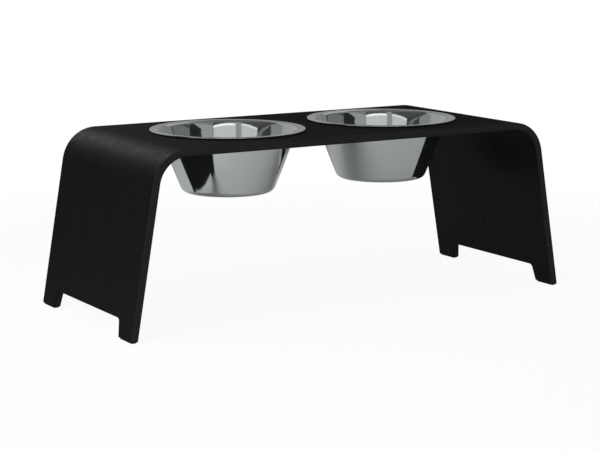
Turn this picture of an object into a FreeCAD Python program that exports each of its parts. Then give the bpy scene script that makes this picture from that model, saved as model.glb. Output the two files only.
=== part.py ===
import FreeCAD, Part
import math
import os

# Dog feeding station: a board of moulded plywood bent into a bench, with two steel bowls that hang in it.
# Millimetres. X runs along the board, +Y to the back, Z up. The origin is on the floor, under the middle.

Vector = FreeCAD.Vector

# Bowl: one sheet of stainless steel, spun into a cone that flares out to a near-flat flange with a rolled rim.
bowl_rim_radius = 107.6
bowl_depth = 87.8
bowl_sheet = 0.8
bowl_wall_lean = 20.5
bowl_base_corner_radius = 11.0
flare_lean = 26.0
flare_radius = 120.0
neck_straight = 0.3
flange_width = 11.3
flange_dip = 4.0
neck_bend_radius = 4.2
rim_roll_core = 0.2

# Seat ring: a soft ring of L section that lines each hole and carries the rim.
seat_flange_thickness = 1.0
seat_sleeve_wall = 1.0
seat_sleeve_depth = 6.0
seat_setback = 0.5
seat_rim_gap = 0.3
neck_clearance = 1.5
sleeve_clearance = 0.1

# Board: plies of equal thickness, pressed together over one mould and cut to shape afterwards.
stand_height = 244.6
ply_thickness = 1.43
core_ply_count = 5
bend_radius = 50.0
leg_splay = 9.9
rim_gap = 39.4
rim_to_bend = 28.6
rim_to_edge = 32.4
edge_round = 1.0

# Feet: what is left of each leg on both sides of the notch in its lower edge.
foot_width = 37.6
notch_height = 24.8
notch_flank_lean = 13.0
notch_corner_radius = 6.0
pad_thickness = 1.5
pad_inset = 1.3
pad_corner_radius = 2.0

# Cuts run this far past what they cut, and a rounding takes up at most this share of the room it has.
overrun = 20.0
rounding_limit_share = 0.75

full_turn = 360
sides = {"left": -1, "right": 1}
ends = {"front": -1, "back": 1}

# The board is laid out round the bowls: a gap between the rims and a margin on each side of them.
board_thickness = (core_ply_count + 2) * ply_thickness
board_width = 2 * (bowl_rim_radius + rim_to_edge)
bowl_spacing = 2 * bowl_rim_radius + rim_gap
flat_length = bowl_spacing + 2 * (bowl_rim_radius + rim_to_bend)

# The legs lean outwards from the bends, so the stand is longest at the floor.
splay = math.radians(leg_splay)
bend_angle = math.pi / 2 - splay
corner_length = flat_length + 2 * bend_radius * math.tan(bend_angle / 2)
floor_half_length = corner_length / 2 + stand_height * math.tan(splay)

# The rim stands on the seat ring, the ring on the board, and the hole takes ring and bowl neck.
wall_lean = math.radians(bowl_wall_lean)
flare = math.radians(flare_lean)
dip = math.radians(flange_dip)
rim_roll_radius = bowl_sheet + rim_roll_core
rim_roll_height = stand_height + seat_flange_thickness + seat_rim_gap + rim_roll_radius
bowl_base_height = rim_roll_height + rim_roll_radius - bowl_depth
neck_radius = bowl_rim_radius - flange_width
sleeve_radius = neck_radius + neck_clearance
hole_radius = sleeve_radius + seat_sleeve_wall + sleeve_clearance


def at(x, z):
    """Point in the upright plane along the middle of the board."""
    return Vector(x, 0, z)


def rounded_path(corners, radii):
    """Edges of an open path through these corners, with an arc of the given radius at each inner one."""
    edges = []
    start = corners[0]
    for before, corner, after, radius in zip(corners, corners[1:], corners[2:], radii):
        back = (before - corner).normalize()
        ahead = (after - corner).normalize()
        half_angle = back.getAngle(ahead) / 2
        reach = radius / math.tan(half_angle)
        arc_start = corner + back * reach
        arc_end = corner + ahead * reach
        to_centre = (back + ahead).normalize()
        arc_middle = corner + to_centre * (radius / math.sin(half_angle) - radius)
        edges.append(Part.makeLine(start, arc_start))
        edges.append(Part.Arc(arc_start, arc_middle, arc_end).toShape())
        start = arc_end
    edges.append(Part.makeLine(start, corners[-1]))
    return edges


def closed_face(edges):
    """Face inside a loop of edges, given in any order."""
    return Part.Face(Part.Wire(Part.sortEdges(edges)[0]))


def turned(section, side):
    """Section turned into a ring or bowl about the axis of the left or right hole."""
    solid = section.revolve(Vector(0, 0, 0), Vector(0, 0, 1), full_turn)
    solid.translate(Vector(side * bowl_spacing / 2, 0, 0))
    return solid


def board_line(depth):
    """Line along the bent board, this deep under its outer face, from the left feet to the right feet."""
    top = stand_height - depth
    half_length = floor_half_length - depth / math.cos(splay)
    foot_x = half_length - pad_thickness * math.tan(splay)
    corner_x = half_length - top * math.tan(splay)
    left = [at(-foot_x, pad_thickness), at(-corner_x, top)]
    right = [at(corner_x, top), at(foot_x, pad_thickness)]
    radius = bend_radius - depth
    return rounded_path(left + right, [radius, radius])


def bowl_hole(side):
    """Round hole through the flat of the board for one bowl."""
    start = Vector(side * bowl_spacing / 2, 0, stand_height - board_thickness - overrun)
    return Part.makeCylinder(hole_radius, board_thickness + 2 * overrun, start)


def leg_notches():
    """Long block that cuts the same notch, wider at the floor, into the lower edge of both legs."""
    foot_y = board_width / 2 - foot_width
    top_y = foot_y - notch_height * math.tan(math.radians(notch_flank_lean))
    start_x = -floor_half_length - overrun
    front = [Vector(start_x, -foot_y, 0), Vector(start_x, -top_y, notch_height)]
    back = [Vector(start_x, top_y, notch_height), Vector(start_x, foot_y, 0)]
    outline = rounded_path(front + back, [notch_corner_radius, notch_corner_radius])
    floor_line = Part.makeLine(back[-1], front[0])
    return closed_face(outline + [floor_line]).extrude(Vector(-2 * start_x, 0, 0))


def board_layer(upper_depth, lower_depth):
    """One layer of the board between two depths, with its bowl holes and leg notches."""
    upper = board_line(upper_depth)
    lower = board_line(lower_depth)
    left_end = Part.makeLine(upper[0].firstVertex().Point, lower[0].firstVertex().Point)
    right_end = Part.makeLine(upper[-1].lastVertex().Point, lower[-1].lastVertex().Point)
    section = closed_face(upper + [right_end] + lower + [left_end])
    section.translate(Vector(0, -board_width / 2, 0))
    layer = section.extrude(Vector(0, board_width, 0))
    cuts = [bowl_hole(side) for side in sides.values()]
    return layer.cut(cuts + [leg_notches()]).Solids[0]


def outline_edges(layer, depth):
    """Edges round the face of a layer at this depth, without the seams where a bend starts and ends."""
    sheet = Part.Wire(board_line(depth)).extrude(Vector(0, board_width, 0))
    sheet.translate(Vector(0, -board_width / 2, 0))
    tolerance = ply_thickness / 100
    found = []
    for edge in layer.Edges:
        first, last = edge.ParameterRange
        points = [edge.valueAt(place) for place in (first, (first + last) / 2, last)]
        on_sheet = all(Part.Vertex(point).distToShape(sheet)[0] < tolerance for point in points)
        is_seam = abs(edge.BoundBox.YLength - board_width) < tolerance
        if on_sheet and not is_seam:
            found.append(edge)
    return found


def face_veneer(upper_depth, lower_depth, shown_depth):
    """Face ply of the board, with the edges of the side that shows rounded over."""
    layer = board_layer(upper_depth, lower_depth)
    rounding = min(edge_round, ply_thickness * rounding_limit_share)
    return layer.makeFillet(rounding, outline_edges(layer, shown_depth))


def rim_point(inward, reach_sign):
    """Point of the rolled rim's outline, level with the flange line this far in from its underside."""
    along = at(math.cos(dip), math.sin(dip))
    above = at(-math.sin(dip), math.cos(dip))
    centre = at(bowl_rim_radius - rim_roll_radius, rim_roll_height)
    height = inward + rim_roll_core
    reach = math.sqrt(max(rim_roll_radius ** 2 - height ** 2, 0))
    return centre + above * height + along * (reach_sign * reach)


def mitred(corner, first, second, inward):
    """Corner of a line drawn this far in from two straight ones, whose inward directions are given."""
    return corner + (first + second) * (inward / (1 + first.dot(second)))


def bowl_line(inward):
    """Line along the bowl's sheet, this far in from its outer side, from the middle of the base to the rim."""
    underside = rim_point(0, -1)
    neck = at(neck_radius, underside.z - (underside.x - neck_radius) * math.tan(dip))
    flare_reach = flare_radius * math.tan((flare - wall_lean) / 2)
    neck_reach = neck_bend_radius * math.tan((math.pi / 2 - flare - dip) / 2)
    flare_along = at(math.sin(flare), math.cos(flare))
    flare_foot = neck - flare_along * (flare_reach + neck_straight + neck_reach)
    base_drop = flare_foot.z - bowl_base_height
    base_corner = flare_foot - at(base_drop * math.tan(wall_lean), base_drop)
    base_in = at(0, 1)
    wall_in = at(-math.cos(wall_lean), math.sin(wall_lean))
    flare_in = at(-math.cos(flare), math.sin(flare))
    flange_in = at(-math.sin(dip), math.cos(dip))
    base_corner = mitred(base_corner, base_in, wall_in, inward)
    flare_foot = mitred(flare_foot, wall_in, flare_in, inward)
    neck = mitred(neck, flare_in, flange_in, inward)
    corners = [at(0, bowl_base_height + inward), base_corner, flare_foot, neck, rim_point(inward, -1)]
    radii = [bowl_base_corner_radius - inward, flare_radius + inward, neck_bend_radius + inward]
    return rounded_path(corners, radii)


def bowl(side):
    """Spun bowl: base, cone, flare, bent neck, flange and the roll that closes its edge."""
    outside = bowl_line(0)
    inside = bowl_line(bowl_sheet)
    outside_end = outside[-1].lastVertex().Point
    inside_end = inside[-1].lastVertex().Point
    rim_roll = Part.Arc(outside_end, rim_point(0, 1), inside_end).toShape()
    axis_line = Part.makeLine(outside[0].firstVertex().Point, inside[0].firstVertex().Point)
    return turned(closed_face(outside + [rim_roll] + inside + [axis_line]), side)


def seat_ring(side):
    """Soft ring whose sleeve lines the hole and whose flange lies on the board, under the rim."""
    top = stand_height + seat_flange_thickness
    bottom = stand_height - seat_sleeve_depth
    flange_edge = bowl_rim_radius - seat_setback
    sleeve_outside = sleeve_radius + seat_sleeve_wall
    flange = [at(sleeve_radius, top), at(flange_edge, top), at(flange_edge, stand_height)]
    sleeve = [at(sleeve_outside, stand_height), at(sleeve_outside, bottom), at(sleeve_radius, bottom)]
    return turned(Part.Face(Part.makePolygon(flange + sleeve + flange[:1])), side)


def foot_pad(side, end):
    """Soft pad with rounded corners under one foot, set in from the foot's outline."""
    outer_x = floor_half_length - pad_thickness * math.tan(splay) - pad_inset
    length = board_thickness / math.cos(splay) - 2 * pad_inset
    width = foot_width - 2 * pad_inset
    outer_y = board_width / 2 - pad_inset
    low_x = min(side * outer_x, side * (outer_x - length))
    low_y = min(end * outer_y, end * (outer_y - width))
    pad = Part.makeBox(length, width, pad_thickness, Vector(low_x, low_y, 0))
    upright = [edge for edge in pad.Edges if edge.BoundBox.ZLength > pad_thickness / 2]
    rounding = min(pad_corner_radius, length / 2 * rounding_limit_share)
    return pad.makeFillet(rounding, upright)


core_top = ply_thickness
core_bottom = board_thickness - ply_thickness
pieces = {
    "outer_face_veneer": face_veneer(0, core_top, 0),
    "plywood_core": board_layer(core_top, core_bottom),
    "inner_face_veneer": face_veneer(core_bottom, board_thickness, board_thickness),
}
for side_name, side in sides.items():
    pieces["bowl_" + side_name] = bowl(side)
    pieces["seat_ring_" + side_name] = seat_ring(side)
    for end_name, end in ends.items():
        pieces["foot_pad_" + end_name + "_" + side_name] = foot_pad(side, end)

os.makedirs("parts", exist_ok=True)
for name, piece in pieces.items():
    piece.exportStep("parts/" + name + ".step")
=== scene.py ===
import math

import bpy
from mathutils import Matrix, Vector


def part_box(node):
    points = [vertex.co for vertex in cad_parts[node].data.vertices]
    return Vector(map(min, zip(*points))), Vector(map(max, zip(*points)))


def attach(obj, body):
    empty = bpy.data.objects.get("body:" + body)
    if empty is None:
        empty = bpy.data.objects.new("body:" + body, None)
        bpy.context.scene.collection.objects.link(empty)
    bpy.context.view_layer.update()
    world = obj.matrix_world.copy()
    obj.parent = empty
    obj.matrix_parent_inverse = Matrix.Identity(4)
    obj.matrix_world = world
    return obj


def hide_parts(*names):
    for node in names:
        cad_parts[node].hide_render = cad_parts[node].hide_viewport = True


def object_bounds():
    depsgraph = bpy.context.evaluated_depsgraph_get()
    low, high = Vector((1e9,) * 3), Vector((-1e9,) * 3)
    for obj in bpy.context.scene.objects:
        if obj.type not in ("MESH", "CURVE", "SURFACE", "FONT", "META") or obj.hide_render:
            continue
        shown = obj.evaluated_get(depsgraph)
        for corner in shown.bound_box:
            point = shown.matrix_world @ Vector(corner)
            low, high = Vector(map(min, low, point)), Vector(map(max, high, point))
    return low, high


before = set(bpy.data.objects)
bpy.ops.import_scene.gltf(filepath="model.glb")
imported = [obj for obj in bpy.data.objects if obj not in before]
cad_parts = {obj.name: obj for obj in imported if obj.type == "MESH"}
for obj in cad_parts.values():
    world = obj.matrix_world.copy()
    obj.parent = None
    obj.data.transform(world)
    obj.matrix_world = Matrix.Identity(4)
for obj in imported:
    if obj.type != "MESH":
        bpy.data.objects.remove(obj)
cad_low, cad_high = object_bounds()

# Dog feeding station: a bench of bent plywood, stained black, with two spun steel bowls that hang in it.
# Metres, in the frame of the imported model: X along the bench, +Y to the back, Z up from the floor.
mm = 0.001

# Board: its plies are concentric round the bends, so a few sizes give the grain its way over them.
bend_radius = 50 * mm
leg_splay = math.radians(9.9)
ply_thickness = 1.43 * mm
bend_turn = math.pi / 2 - leg_splay
veneer_low, veneer_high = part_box("outer_face_veneer")
board_half_width = veneer_high.y
bench_corner_x = veneer_high.x - (veneer_high.z - veneer_low.z) * math.tan(leg_splay)
bend_start_x = bench_corner_x - bend_radius * math.tan(bend_turn / 2)
bend_centre_z = veneer_high.z - bend_radius

# Bowl: one sheet, spun to a cone that bows out a little and then flares to a near-flat flange
# with a rolled rim.
rim_radius = 107.6 * mm
bowl_sheet = 0.8 * mm
wall_lean = math.radians(19.5)
lower_wall_lean = math.radians(22.0)
wall_bow_radius = 1200.0 * mm
wall_bow_share = 0.5
base_corner_radius = 11.0 * mm
flare_lean = math.radians(26.0)
flare_radius = 120.0 * mm
neck_straight = 0.3 * mm
flange_width = 11.3 * mm
flange_dip = math.radians(4.0)
neck_bend_radius = 4.2 * mm
rim_roll_core = 0.2 * mm
rim_roll_radius = bowl_sheet + rim_roll_core
rim_roll_turn = 1.5 * math.pi + math.asin(rim_roll_core / rim_roll_radius)
bowl_axis_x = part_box("bowl_left")[1].x - rim_radius
bowl_spacing = -2 * bowl_axis_x
bowl_base_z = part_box("bowl_left")[0].z
rim_roll_centre = Vector((rim_radius - rim_roll_radius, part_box("bowl_left")[1].z - rim_roll_radius))

# Fineness of the bowl's mesh: steps round the bowl, and along the parts of its section.
spin_steps = 256
line_steps = 10
corner_steps = 16
flange_steps = 6
rim_roll_steps = 32
merge_distance = 0.001 * mm

# Studio: lengths in metres, angles in degrees. Azimuths run clockwise from the front, seen from above.
floor_size = 40
bright_floor_reach = 0.4
dim_floor_reach = 1.2
panel_distance = 6
dark_card_distance = 5
pale_card_distance = 4.9
card_top_corner = 2
card_round_steps = 64
bend_light_distance = 1.93
bend_light_rise = 1.05
bend_light_spread = 24
# Watts per square metre at which an area lamp mirrors as white.
lamp_watts_for_white = math.pi ** 2 / 4

# Share of white glow in the floor, to the eye near the bench and in the steel; the rest is lit matt floor.
seen_glow_share = 0.93
mirrored_glow_share = 0.05

# Brightness of the walls, where 1 is white: as soft light, and in the steel from wall to ceiling.
# The ceiling's heights, between which they grow paler, are those of unit directions.
soft_light = 0.95
mirrored_wall = 0.105
mirrored_ceiling = 0.24
ceiling_low = 0.74
ceiling_high = 0.93


def linear(hex_colour):
    """Linear colour, with alpha, of an sRGB hex value."""
    channels = [int(hex_colour[i:i + 2], 16) / 255 for i in (1, 3, 5)]
    return [c / 12.92 if c <= 0.04045 else ((c + 0.055) / 1.055) ** 2.4 for c in channels] + [1]


def add(tree, kind, inputs=None, output=0, **settings):
    """Adds a node with its settings, values and links, and gives one of its outputs back."""
    node = tree.nodes.new(kind)
    for name, value in settings.items():
        setattr(node, name, value)
    for name, value in (inputs or {}).items():
        if isinstance(value, bpy.types.NodeSocket):
            tree.links.new(value, node.inputs[name])
        else:
            node.inputs[name].default_value = value
    return node.outputs[output] if node.outputs else node


def new_finish(name):
    """An empty material and its node tree."""
    material = bpy.data.materials.new(name)
    material.use_nodes = True
    material.node_tree.nodes.clear()
    return material, material.node_tree


def unrolled_board():
    """Node group that unrolls the board: how far along and across it a point lies, and how deep in it."""
    group = bpy.data.node_groups.new("unrolled_board", "ShaderNodeTree")
    for name in ("Along", "Across", "Depth"):
        group.interface.new_socket(name, in_out="OUTPUT", socket_type="NodeSocketFloat")
    place = add(group, "ShaderNodeTexCoord", output="Object")
    split = add(group, "ShaderNodeSeparateXYZ", {0: place}).node
    end_sign = add(group, "ShaderNodeMath", {0: split.outputs["X"]}, operation="SIGN")
    reach = add(group, "ShaderNodeMath", {0: split.outputs["X"]}, operation="ABSOLUTE")
    past = add(group, "ShaderNodeMath", {0: reach, 1: bend_start_x}, operation="SUBTRACT")
    past = add(group, "ShaderNodeMath", {0: past, 1: 0}, operation="MAXIMUM")
    rise = add(group, "ShaderNodeMath", {0: split.outputs["Z"], 1: bend_centre_z}, operation="SUBTRACT")
    turn = add(group, "ShaderNodeMath", {0: past, 1: rise}, operation="ARCTAN2")
    turn = add(group, "ShaderNodeMath", {0: turn, 1: bend_turn}, operation="MINIMUM")
    sine = add(group, "ShaderNodeMath", {0: turn}, operation="SINE")
    cosine = add(group, "ShaderNodeMath", {0: turn}, operation="COSINE")
    # Distance out from the bend's axis, square to the board.
    out = add(group, "ShaderNodeMath", {0: rise, 1: cosine}, operation="MULTIPLY")
    out = add(group, "ShaderNodeMath", {0: past, 1: sine, 2: out}, operation="MULTIPLY_ADD")
    depth = add(group, "ShaderNodeMath", {0: bend_radius, 1: out}, operation="SUBTRACT")
    # Length of the flat, then of the bend, then of the leg.
    flat = add(group, "ShaderNodeMath", {0: reach, 1: bend_start_x}, operation="MINIMUM")
    bent = add(group, "ShaderNodeMath", {0: turn, 1: bend_radius, 2: flat}, operation="MULTIPLY_ADD")
    fall = add(group, "ShaderNodeMath", {0: rise, 1: sine}, operation="MULTIPLY")
    leg = add(group, "ShaderNodeMath", {0: past, 1: cosine}, operation="MULTIPLY")
    leg = add(group, "ShaderNodeMath", {0: leg, 1: fall}, operation="SUBTRACT")
    along = add(group, "ShaderNodeMath", {0: bent, 1: leg}, operation="ADD")
    along = add(group, "ShaderNodeMath", {0: along, 1: end_sign}, operation="MULTIPLY")
    add(group, "NodeGroupOutput", {"Along": along, "Across": split.outputs["Y"], "Depth": depth})
    return group


def grain(tree, board, length, width, detail):
    """Noise drawn out along the board's grain into streaks of this length and width."""
    along = add(tree, "ShaderNodeMath", {0: board.outputs["Along"], 1: length}, operation="DIVIDE")
    across = add(tree, "ShaderNodeMath", {0: board.outputs["Across"], 1: width}, operation="DIVIDE")
    depth = add(tree, "ShaderNodeMath", {0: board.outputs["Depth"], 1: width}, operation="DIVIDE")
    place = add(tree, "ShaderNodeCombineXYZ", {"X": along, "Y": across, "Z": depth})
    return add(tree, "ShaderNodeTexNoise", {
        "Vector": place, "Scale": 1, "Detail": detail, "Roughness": 0.6})


def black_stained_veneer():
    """Ash veneer, stained black and oiled: nearly black, with straight grain that catches the light."""
    material, tree = new_finish("black_stained_ash_veneer")
    board = add(tree, "ShaderNodeGroup", node_tree=board_group).node
    fibres = grain(tree, board, length=60 * mm, width=0.9 * mm, detail=3)
    bands = grain(tree, board, length=250 * mm, width=6 * mm, detail=2)
    tone = add(tree, "ShaderNodeMix", {"Factor": 0.35, "A": fibres, "B": bands})
    wood = add(tree, "ShaderNodeMapRange", {"Value": tone, "From Min": 0.3, "From Max": 0.7})
    colour = add(tree, "ShaderNodeMix", {"Factor": wood, "A": linear("#0F1110"), "B": linear("#191A19")},
                 output="Result", data_type="RGBA")
    # Pores of ash are about 0.3 mm wide; they are drawn wider here, so that they show.
    pores = grain(tree, board, length=14 * mm, width=0.7 * mm, detail=1)
    pores = add(tree, "ShaderNodeMapRange", {"Value": pores, "From Min": 0.58, "From Max": 0.68})
    colour = add(tree, "ShaderNodeMix", {"Factor": pores, "A": colour, "B": linear("#0B0C0B")},
                 output="Result", data_type="RGBA")
    # The stain is thin on the eased edges along the board, and the wood shows through it a little.
    edge = add(tree, "ShaderNodeMath", {0: board.outputs["Across"]}, operation="ABSOLUTE")
    edge = add(tree, "ShaderNodeMapRange", {"Value": edge, "From Min": board_half_width - 1.4 * mm,
                                            "From Max": board_half_width - 0.2 * mm, "To Max": 0.5})
    # Partly wear, partly painted highlight: the pale grey also stands for light on the rounded edges.
    wear_and_edge_highlight = add(tree, "ShaderNodeMath", {0: edge, 1: bands}, operation="MULTIPLY")
    colour = add(tree, "ShaderNodeMix", {"Factor": wear_and_edge_highlight, "A": colour, "B": linear("#3E403D")},
                 output="Result", data_type="RGBA")
    # The oil dries unevenly in the grain, so that highlights break up into short flecks.
    flecks = grain(tree, board, length=12 * mm, width=2 * mm, detail=2)
    sheen = add(tree, "ShaderNodeMapRange", {"Value": flecks, "From Min": 0.35, "From Max": 0.65,
                                             "To Min": 0.72, "To Max": 0.52})
    height = add(tree, "ShaderNodeMath", {0: fibres, 1: pores}, operation="SUBTRACT")
    relief = add(tree, "ShaderNodeBump", {"Height": height, "Strength": 0.3, "Distance": 0.1 * mm})
    surface = add(tree, "ShaderNodeBsdfPrincipled", {
        "Base Color": colour, "Roughness": sheen, "Normal": relief, "Specular IOR Level": 0.03})
    add(tree, "ShaderNodeOutputMaterial", {"Surface": surface})
    return material


def black_stained_ply_edge():
    """Cut edge of birch ply under black stain: plies of long and end grain take it up by turns."""
    material, tree = new_finish("black_stained_birch_ply_edge")
    board = add(tree, "ShaderNodeGroup", node_tree=board_group).node
    ply = add(tree, "ShaderNodeMath", {0: board.outputs["Depth"], 1: ply_thickness}, operation="DIVIDE")
    turn_about = add(tree, "ShaderNodeMath", {0: ply, 1: 2}, operation="FLOORED_MODULO")
    is_cross_ply = add(tree, "ShaderNodeMath", {0: turn_about, 1: 1}, operation="GREATER_THAN")
    fibres = grain(tree, board, length=25 * mm, width=0.5 * mm, detail=3)
    specks = grain(tree, board, length=0.7 * mm, width=0.5 * mm, detail=2)
    long_ply = add(tree, "ShaderNodeMix", {
        "Factor": fibres, "A": linear("#20201F"), "B": linear("#313130")},
        output="Result", data_type="RGBA")
    cross_ply = add(tree, "ShaderNodeMix", {
        "Factor": specks, "A": linear("#161615"), "B": linear("#262625")},
        output="Result", data_type="RGBA")
    colour = add(tree, "ShaderNodeMix", {"Factor": is_cross_ply, "A": long_ply, "B": cross_ply},
                 output="Result", data_type="RGBA")
    # Dark lines of glue between the plies.
    from_line = add(tree, "ShaderNodeMath", {0: ply, 1: 1}, operation="PINGPONG")
    from_line = add(tree, "ShaderNodeMath", {0: from_line, 1: 0.5}, operation="PINGPONG")
    is_glue = add(tree, "ShaderNodeMath", {0: from_line, 1: 0.08}, operation="LESS_THAN")
    colour = add(tree, "ShaderNodeMix", {"Factor": is_glue, "A": colour, "B": linear("#0C0D0C")},
                 output="Result", data_type="RGBA")
    dull = add(tree, "ShaderNodeMapRange", {"Value": fibres, "To Min": 0.62, "To Max": 0.78})
    relief = add(tree, "ShaderNodeBump", {"Height": specks, "Strength": 0.3, "Distance": 0.1 * mm})
    surface = add(tree, "ShaderNodeBsdfPrincipled", {
        "Base Color": colour, "Roughness": dull, "Normal": relief, "Specular IOR Level": 0.05})
    add(tree, "ShaderNodeOutputMaterial", {"Surface": surface})
    return material


def stainless_steel():
    """Stainless steel, spun and polished: a clear, slightly wavy mirror with fine turning lines."""
    material, tree = new_finish("polished_stainless_steel")
    place = add(tree, "ShaderNodeTexCoord", output="Object")
    split = add(tree, "ShaderNodeSeparateXYZ", {0: place}).node
    # The bowls lie alike on both sides of the bench's middle, so one distance from it serves both.
    side = add(tree, "ShaderNodeMath", {0: split.outputs["X"]}, operation="ABSOLUTE")
    side = add(tree, "ShaderNodeMath", {0: side, 1: abs(bowl_axis_x)}, operation="SUBTRACT")
    arm = add(tree, "ShaderNodeCombineXYZ", {"X": side, "Y": split.outputs["Y"]})
    radius = add(tree, "ShaderNodeVectorMath", {0: arm}, output="Value", operation="LENGTH")
    # Radius and height added up grow all the way along the sheet, out over the base and up the wall.
    along = add(tree, "ShaderNodeMath", {0: radius, 1: split.outputs["Z"]}, operation="ADD")
    # The turning lines are about 0.2 mm apart; they are drawn coarser here, so that they show.
    lines = add(tree, "ShaderNodeMath", {0: along, 1: 1.6 * mm}, operation="DIVIDE")
    lines = add(tree, "ShaderNodeTexNoise", {"W": lines, "Scale": 1, "Detail": 3}, noise_dimensions="1D")
    dents = add(tree, "ShaderNodeTexNoise", {"Vector": place, "Scale": 1 / (30 * mm), "Detail": 1})
    smears = add(tree, "ShaderNodeTexNoise", {"Vector": place, "Scale": 1 / (12 * mm), "Detail": 4})
    colour = add(tree, "ShaderNodeMix", {"Factor": lines, "A": linear("#B2B8B4"), "B": linear("#BEC4C0")},
                 output="Result", data_type="RGBA")
    dullness = add(tree, "ShaderNodeMath", {0: lines, 1: smears}, operation="MULTIPLY")
    dullness = add(tree, "ShaderNodeMapRange", {"Value": dullness, "From Max": 0.5,
                                                "To Min": 0.03, "To Max": 0.1})
    relief = add(tree, "ShaderNodeBump", {"Height": dents, "Strength": 1, "Distance": 0.05 * mm})
    relief = add(tree, "ShaderNodeBump", {"Height": lines, "Normal": relief, "Strength": 1,
                                          "Distance": 0.002 * mm})
    # Hairline scratches scatter a trace of light, so that black things mirror as a very dark grey.
    surface = add(tree, "ShaderNodeBsdfPrincipled", {
        "Base Color": colour, "Metallic": 0.99, "Roughness": dullness, "Normal": relief})
    add(tree, "ShaderNodeOutputMaterial", {"Surface": surface})
    return material


def black_silicone():
    """Moulded silicone: matt black with a soft sheen and the faint bloom of the mould's sanded face."""
    material, tree = new_finish("black_moulded_silicone")
    place = add(tree, "ShaderNodeTexCoord", output="Object")
    bloom = add(tree, "ShaderNodeTexNoise", {"Vector": place, "Scale": 1 / (9 * mm), "Detail": 3})
    sanding = add(tree, "ShaderNodeTexNoise", {"Vector": place, "Scale": 1 / (0.4 * mm), "Detail": 2})
    colour = add(tree, "ShaderNodeMix", {"Factor": bloom, "A": linear("#0C0D0D"), "B": linear("#151616")},
                 output="Result", data_type="RGBA")
    dull = add(tree, "ShaderNodeMapRange", {"Value": bloom, "To Min": 0.45, "To Max": 0.6})
    relief = add(tree, "ShaderNodeBump", {"Height": sanding, "Strength": 0.3, "Distance": 0.05 * mm})
    surface = add(tree, "ShaderNodeBsdfPrincipled", {
        "Base Color": colour, "Roughness": dull, "Normal": relief, "Specular IOR Level": 0.3})
    add(tree, "ShaderNodeOutputMaterial", {"Surface": surface})
    return material


def black_rubber():
    """Die-cut rubber sheet: dull black with a rough skin and grey specks of filler."""
    material, tree = new_finish("black_rubber_sheet")
    place = add(tree, "ShaderNodeTexCoord", output="Object")
    skin = add(tree, "ShaderNodeTexNoise", {"Vector": place, "Scale": 1 / (0.6 * mm), "Detail": 3})
    specks = add(tree, "ShaderNodeMapRange", {"Value": skin, "From Min": 0.55, "From Max": 0.75})
    colour = add(tree, "ShaderNodeMix", {"Factor": specks, "A": linear("#0E0E0E"), "B": linear("#242423")},
                 output="Result", data_type="RGBA")
    dull = add(tree, "ShaderNodeMapRange", {"Value": skin, "To Min": 0.75, "To Max": 0.9})
    relief = add(tree, "ShaderNodeBump", {"Height": skin, "Strength": 0.5, "Distance": 0.1 * mm})
    surface = add(tree, "ShaderNodeBsdfPrincipled", {
        "Base Color": colour, "Roughness": dull, "Normal": relief, "Specular IOR Level": 0.3})
    add(tree, "ShaderNodeOutputMaterial", {"Surface": surface})
    return material


def dress(node_names, material):
    """Gives CAD nodes this material in place of their plain one."""
    for name in node_names:
        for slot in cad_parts[name].material_slots:
            slot.material = material


def rim_point(inward):
    """Where the line along the sheet, this far in from its outer side, meets the rolled rim."""
    along = Vector((math.cos(flange_dip), math.sin(flange_dip)))
    above = Vector((-math.sin(flange_dip), math.cos(flange_dip)))
    height = inward + rim_roll_core
    reach = math.sqrt(max(rim_roll_radius ** 2 - height ** 2, 0))
    return rim_roll_centre + above * height - along * reach


def mitred(corner, first, second, inward):
    """Corner of a line drawn this far in from two straight ones, whose inward directions are given."""
    return corner + (first + second) * (inward / (1 + first.dot(second)))


def sheet_corners(inward):
    """Corners of the line along the sheet, this far in from its outer side, from the axis to the rim."""
    neck_radius = rim_radius - flange_width
    underside = rim_point(0)
    neck = Vector((neck_radius, underside.y - (underside.x - neck_radius) * math.tan(flange_dip)))
    flare_reach = flare_radius * math.tan((flare_lean - wall_lean) / 2)
    neck_reach = neck_bend_radius * math.tan((math.pi / 2 - flare_lean - flange_dip) / 2)
    flare_along = Vector((math.sin(flare_lean), math.cos(flare_lean)))
    flare_foot = neck - flare_along * (flare_reach + neck_straight + neck_reach)
    bow_drop = (flare_foot.y - bowl_base_z) * wall_bow_share
    bow = flare_foot - Vector((bow_drop * math.tan(wall_lean), bow_drop))
    base_drop = bow.y - bowl_base_z
    base = bow - Vector((base_drop * math.tan(lower_wall_lean), base_drop))
    base_in = Vector((0, 1))
    lower_wall_in = Vector((-math.cos(lower_wall_lean), math.sin(lower_wall_lean)))
    wall_in = Vector((-math.cos(wall_lean), math.sin(wall_lean)))
    flare_in = Vector((-math.cos(flare_lean), math.sin(flare_lean)))
    flange_in = Vector((-math.sin(flange_dip), math.cos(flange_dip)))
    return [Vector((0, bowl_base_z + inward)), mitred(base, base_in, lower_wall_in, inward),
            mitred(bow, lower_wall_in, wall_in, inward), mitred(flare_foot, wall_in, flare_in, inward),
            mitred(neck, flare_in, flange_in, inward), rim_point(inward)]


def draw_line(start, end, steps):
    """Extends the section from its chosen end point in a straight line, in equal steps."""
    step = (end - start) / steps
    for _ in range(steps):
        bpy.ops.mesh.extrude_region_move(TRANSFORM_OT_translate={"value": (step.x, 0, step.y)})


def draw_arc(centre, turn, steps):
    """Extends the section round a centre; a positive turn is counterclockwise, seen from the front."""
    bpy.ops.mesh.spin(steps=steps, angle=abs(turn), center=(bowl_axis_x + centre.x, 0, centre.y),
                      axis=(0, math.copysign(1, turn), 0))


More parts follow.
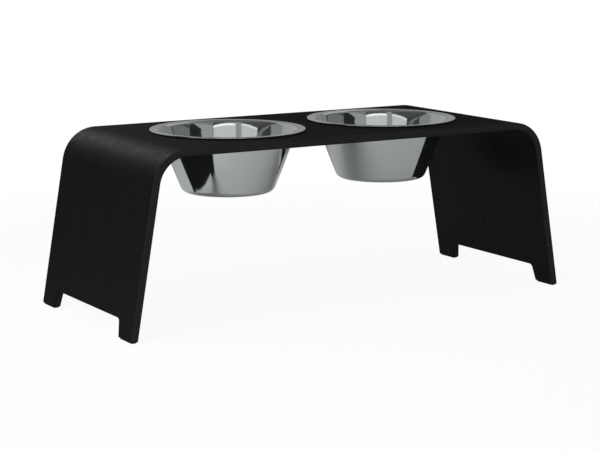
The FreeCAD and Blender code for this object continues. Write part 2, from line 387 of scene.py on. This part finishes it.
def draw_rounded(corners, radii):
    """Extends the section along a line through these corners, with an arc at each inner one."""
    start = corners[0]
    for before, corner, after, radius in zip(corners, corners[1:], corners[2:], radii):
        back = (before - corner).normalized()
        ahead = (after - corner).normalized()
        half_angle = back.angle(ahead) / 2
        arc_start = corner + back * (radius / math.tan(half_angle))
        arc_end = corner + ahead * (radius / math.tan(half_angle))
        centre = corner + (back + ahead).normalized() * (radius / math.sin(half_angle))
        turn_side = math.copysign(1, ahead.x * back.y - ahead.y * back.x)
        draw_line(start, arc_start, line_steps)
        draw_arc(centre, turn_side * (math.pi - 2 * half_angle), corner_steps)
        start = arc_end
    draw_line(start, corners[-1], flange_steps)


def spun_bowl():
    """Draws the sheet's section, from the axis out to the rim and back inside to the axis, and spins it."""
    outside = sheet_corners(0)
    inside = sheet_corners(bowl_sheet)
    bpy.ops.object.select_all(action="DESELECT")
    bpy.ops.mesh.primitive_plane_add(size=rim_radius, location=(bowl_axis_x, 0, outside[0].y))
    bowl = bpy.context.object
    bowl.name = "spun_bowl_left"
    bpy.ops.object.mode_set(mode="EDIT")
    # Drawn together to one point, the plane starts the section on the axis.
    bpy.ops.mesh.merge(type="CENTER")
    draw_rounded(outside, [base_corner_radius, wall_bow_radius, flare_radius, neck_bend_radius])
    draw_arc(rim_roll_centre, rim_roll_turn, rim_roll_steps)
    draw_rounded(inside[::-1], [neck_bend_radius + bowl_sheet, flare_radius + bowl_sheet,
                                wall_bow_radius - bowl_sheet, base_corner_radius - bowl_sheet])
    bpy.ops.mesh.select_all(action="SELECT")
    bpy.ops.mesh.spin(steps=spin_steps, angle=2 * math.pi, center=(bowl_axis_x, 0, 0), axis=(0, 0, 1))
    bpy.ops.mesh.select_all(action="SELECT")
    bpy.ops.mesh.remove_doubles(threshold=merge_distance)
    bpy.ops.mesh.normals_make_consistent(inside=False)
    bpy.ops.object.mode_set(mode="OBJECT")
    bpy.ops.object.shade_smooth()
    bpy.ops.object.transform_apply(location=True, rotation=True, scale=True)
    return bowl


def copied_bowl(bowl):
    """The second bowl: a copy with its own mesh, moved along the bench to the other hole."""
    bpy.ops.object.select_all(action="DESELECT")
    bowl.select_set(True)
    bpy.context.view_layer.objects.active = bowl
    bpy.ops.object.duplicate(linked=False)
    copy = bpy.context.object
    copy.name = "spun_bowl_right"
    bpy.ops.transform.translate(value=(bowl_spacing, 0, 0))
    bpy.ops.object.transform_apply(location=True, rotation=True, scale=True)
    return copy


def ray_kinds(tree):
    """Whether the eye sees a place, itself or through clear things, and whether it is mirrored."""
    rays = add(tree, "ShaderNodeLightPath").node
    seen = add(tree, "ShaderNodeMath", {0: rays.outputs["Is Camera Ray"],
                                        1: rays.outputs["Is Transmission Ray"]}, operation="MAXIMUM")
    return seen, rays.outputs["Is Glossy Ray"]


def white_floor():
    """White to the eye, with a soft shadow. To the bench it is pale close by and grey farther off."""
    bpy.ops.object.select_all(action="DESELECT")
    bpy.ops.mesh.primitive_plane_add(size=floor_size, location=(0, 0, 0))
    floor = bpy.context.object
    floor.name = "studio_floor"
    material, tree = new_finish("white_studio_floor")
    place = add(tree, "ShaderNodeTexCoord", output="Object")
    distance = add(tree, "ShaderNodeVectorMath", {0: place}, output="Value", operation="LENGTH")
    fade = add(tree, "ShaderNodeMapRange", {
        "Value": distance, "From Min": bright_floor_reach, "From Max": dim_floor_reach},
        interpolation_type="SMOOTHSTEP")
    colour = add(tree, "ShaderNodeMix", {"Factor": fade, "A": linear("#BCBCBC"), "B": linear("#5C5C5C")},
                 output="Result", data_type="RGBA")
    seen, mirrored = ray_kinds(tree)
    # Near the bench a small share of the lit floor shows through the white, and with it the shadow.
    seen_white = add(tree, "ShaderNodeMapRange", {
        "Value": fade, "To Min": seen_glow_share, "To Max": 1})
    seen_white = add(tree, "ShaderNodeMath", {0: seen, 1: seen_white}, operation="MULTIPLY")
    mirrored_white = add(tree, "ShaderNodeMath", {0: mirrored, 1: mirrored_glow_share}, operation="MULTIPLY")
    white_share = add(tree, "ShaderNodeMath", {0: seen_white, 1: mirrored_white}, operation="MAXIMUM")
    matt = add(tree, "ShaderNodeBsdfDiffuse", {"Color": colour})
    white = add(tree, "ShaderNodeEmission", {"Color": linear("#FFFFFF"), "Strength": 1})
    surface = add(tree, "ShaderNodeMixShader", {0: white_share, 1: matt, 2: white})
    add(tree, "ShaderNodeOutputMaterial", {"Surface": surface})
    floor.data.materials.append(material)
    return floor


def studio_world():
    """Pale walls: white to the eye, grey where metal mirrors them, and a soft even light on the object."""
    world = bpy.data.worlds.new("studio_walls")
    bpy.context.scene.world = world
    world.use_nodes = True
    tree = world.node_tree
    tree.nodes.clear()
    seen, mirrored = ray_kinds(tree)
    # In the steel the walls grow paler towards the ceiling.
    heading = add(tree, "ShaderNodeTexCoord", output="Generated")
    height = add(tree, "ShaderNodeSeparateXYZ", {0: heading}, output="Z")
    ceiling = add(tree, "ShaderNodeMapRange", {
        "Value": height, "From Min": ceiling_low, "From Max": ceiling_high,
        "To Min": mirrored_wall, "To Max": mirrored_ceiling})
    grey = add(tree, "ShaderNodeBackground", {"Color": linear("#FFFFFF"), "Strength": ceiling})
    soft = add(tree, "ShaderNodeBackground", {"Color": linear("#FFFFFF"), "Strength": soft_light})
    unseen = add(tree, "ShaderNodeMixShader", {0: mirrored, 1: soft, 2: grey})
    white = add(tree, "ShaderNodeBackground", {"Color": linear("#FFFFFF"), "Strength": 1})
    surface = add(tree, "ShaderNodeMixShader", {0: seen, 1: unseen, 2: white})
    add(tree, "ShaderNodeOutputWorld", {"Surface": surface})


def compass(azimuth):
    """Level direction from the bench. Azimuth is in degrees, clockwise from the front, seen from above."""
    turn = math.radians(azimuth)
    return Vector((-math.sin(turn), -math.cos(turn), 0))


def stand_upright(panel, facing, azimuths, elevations, distance):
    """Stands a panel upright, square to the way it faces, and gives the size that spans these angles."""
    across = compass(facing + 90)
    near, far = [distance * math.tan(math.radians(azimuth - facing)) for azimuth in azimuths]
    low, high = [distance * math.tan(math.radians(elevation)) for elevation in elevations]
    middle = Vector((0, 0, cad_high.z + (low + high) / 2))
    panel.location = middle + compass(facing) * distance + across * (near + far) / 2
    panel.rotation_euler = (-compass(facing)).to_track_quat("-Z", "Y").to_euler()
    panel.visible_camera = False
    return far - near, high - low


def area_lamp(name):
    """A rectangular lamp, not yet sized or placed."""
    lamp = bpy.data.lights.new(name, "AREA")
    lamp.shape = "RECTANGLE"
    holder = bpy.data.objects.new(name, lamp)
    bpy.context.scene.collection.objects.link(holder)
    return holder


def bright_panel(name, facing, azimuths, elevations, brightness):
    """A window or reflector across the room; at a brightness of 1 it mirrors as white."""
    panel = area_lamp(name)
    width, height = stand_upright(panel, facing, azimuths, elevations, panel_distance)
    panel.data.size = width
    panel.data.size_y = height
    panel.data.energy = brightness * width * height * lamp_watts_for_white
    return panel


def hang_card(card, name, facing, azimuths, elevations, distance, shade):
    """Hangs a cut card up in the room, to be seen only in what mirrors it."""
    card.name = name
    width, height = stand_upright(card, facing, azimuths, elevations, distance)
    card.scale = (width, height, 1)
    card.visible_diffuse = False
    card.visible_shadow = False
    material, tree = new_finish(name)
    matt = add(tree, "ShaderNodeBsdfDiffuse", {"Color": linear(shade)})
    add(tree, "ShaderNodeOutputMaterial", {"Surface": matt})
    card.data.materials.append(material)


def dark_card(name, facing, azimuths, elevations, corner_drop, shade):
    """A dark card with one top corner cut down, for the dark shapes that give polished metal its depth."""
    bpy.ops.object.select_all(action="DESELECT")
    bpy.ops.mesh.primitive_plane_add(size=1)
    card = bpy.context.object
    card.data.vertices[card_top_corner].co.y -= corner_drop
    hang_card(card, name, facing, azimuths, elevations, dark_card_distance, shade)


def round_card(name, facing, azimuths, elevations, cut_place, cut_side, shade):
    """A pale oval card, cut off along a slanting line, before a dark one."""
    bpy.ops.object.select_all(action="DESELECT")
    bpy.ops.mesh.primitive_circle_add(vertices=card_round_steps, radius=0.5, fill_type="NGON")
    card = bpy.context.object
    bpy.ops.object.mode_set(mode="EDIT")
    bpy.ops.mesh.select_all(action="SELECT")
    bpy.ops.mesh.bisect(plane_co=cut_place, plane_no=cut_side, clear_inner=True)
    bpy.ops.object.mode_set(mode="OBJECT")
    hang_card(card, name, facing, azimuths, elevations, pale_card_distance, shade)


def softbox(name, location, target, size, power):
    """A square softbox at this place, turned to a target."""
    holder = area_lamp(name)
    holder.data.size = size
    holder.data.size_y = size
    holder.data.energy = power
    holder.location = location
    holder.rotation_euler = (target - location).to_track_quat("-Z", "Y").to_euler()
    holder.visible_camera = False
    return holder


def light_only(lamp, objects):
    """Keeps a lamp's light to these objects."""
    lit = bpy.data.collections.new(lamp.name + "_lights")
    for lit_object in objects:
        lit.objects.link(lit_object)
    lamp.light_linking.receiver_collection = lit


def photo_camera():
    """The camera: a long lens, a little above the bench, from its front left."""
    lens = bpy.data.cameras.new("camera")
    lens.sensor_width = 36
    lens.lens = 105.65
    camera = bpy.data.objects.new("camera", lens)
    bpy.context.scene.collection.objects.link(camera)
    camera.location = (-1.3017, -2.1063, 0.5423)
    camera.rotation_euler = (math.radians(79.88), 0, math.radians(-31.51))
    bpy.context.scene.camera = camera


bpy.context.scene.view_settings.view_transform = "Standard"

# The stand, its rings and its pads keep their shapes and are finished; the bowls are spun anew.
board_group = unrolled_board()
dress(["outer_face_veneer", "inner_face_veneer"], black_stained_veneer())
dress(["plywood_core"], black_stained_ply_edge())
dress(["seat_ring_left", "seat_ring_right"], black_silicone())
dress(["foot_pad_front_left", "foot_pad_back_left", "foot_pad_front_right", "foot_pad_back_right"],
      black_rubber())

bowl_left = spun_bowl()
bowl_left.data.materials.append(stainless_steel())
bowl_right = copied_bowl(bowl_left)
for side, bowl in (("left", bowl_left), ("right", bowl_right)):
    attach(bowl, side + "_bowl")
    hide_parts("bowl_" + side)

studio_world()
floor = white_floor()
floor_light = softbox("floor_light", location=Vector((-1.25, -0.4, 0.6)), target=Vector((0, 0, 0.1)),
                      size=1, power=22)
light_only(floor_light, [floor])

# Low softboxes lift the legs, each on one face of the board: name, face, place and power.
between_legs = Vector((0, 0, 0.12))
for name, node, place, power in (
        ("low_fill_outside", "outer_face_veneer", (-1, -0.6, 0.2), 1.7),
        ("low_fill_left", "inner_face_veneer", (-1, 0.6, 0.06), 12),
        ("low_fill_right", "inner_face_veneer", (1, 0.6, 0.06), 28)):
    low_fill = softbox(name, Vector(place), between_legs, size=0.5, power=power)
    light_only(low_fill, [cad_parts[node]])

# Narrow softboxes behind and in front draw the highlights over the bends: name, azimuth, side and power.
wood_nodes = [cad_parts[name] for name in ("outer_face_veneer", "plywood_core", "inner_face_veneer")]
for name, azimuth, side, power in (
        ("back", 170.5, -1, 0.35),
        ("front_left", 9.5, -1, 0.15),
        ("front_right", 350.5, 1, 0.15)):
    bend = Vector((side * bend_start_x, 0, bend_centre_z + bend_radius))
    place = Vector((0, 0, cad_high.z + bend_light_rise)) + compass(azimuth) * bend_light_distance
    bend_light = softbox("bend_light_" + name, place, bend, size=0.3, power=power)
    bend_light.data.spread = math.radians(bend_light_spread)
    light_only(bend_light, wood_nodes)

# What the steel mirrors. For each panel: the azimuth square to it, the azimuths and elevations that it
# spans, as seen from the middle of the bench at the height of the rims, and its brightness.
for name, facing, azimuths, elevations, brightness in (
        ("window_front", 33, (2, 46), (-1, 44.2), 1.08),
        ("window_front_head", 33, (2, 46), (41.6, 44.2), 3),
        ("window_left", 40, (57.5, 88.5), (-1, 44), 1.06),
        ("window_left_head", 40, (57.5, 88.5), (41.4, 44), 2),
        ("window_left_jamb", 40, (86, 88.5), (-1, 41.4), 1),
        ("reflector_front", -18, (-38, 1), (-1, 40.5), 0.54),
        ("reflector_front_head", -22, (-45, 1), (40.5, 61), 0.28),
        ("reflector_between", 50, (46, 57.5), (-1, 48), 0.5),
        ("reflector_right", -58, (-86, -47), (-1, 31), 0.2),
        ("reflector_right_head", -70, (-95, -45), (37, 60), 0.28),
        ("reflector_far_right", 247, (224, 270), (-1, 29), 0.31),
        ("reflector_far_right_head", 247, (216, 268), (29, 57), 0.8),
        ("reflector_far", 211, (198, 224), (-1, 24), 0.32),
        ("reflector_back", 171, (145, 198), (-1, 46), 0.62),
        ("reflector_back_left", 131, (117, 145), (-1, 31), 0.38)):
    panel = bright_panel(name, facing, azimuths, elevations, brightness)
    light_only(panel, [bowl_left, bowl_right])
dark_card("dark_card_right", -36, (-47, -22.5), (10, 40), corner_drop=0.23, shade="#383838")
dark_card("dark_card_left", 105, (90, 118), (0, 34), corner_drop=0, shade="#5F5F5F")
round_card("pale_card_left", 105, (88, 142), (12, 32), cut_place=(-0.024, 0.4745, 0),
           cut_side=(0.719, 0.695, 0), shade="#B4B4B4")
photo_camera()
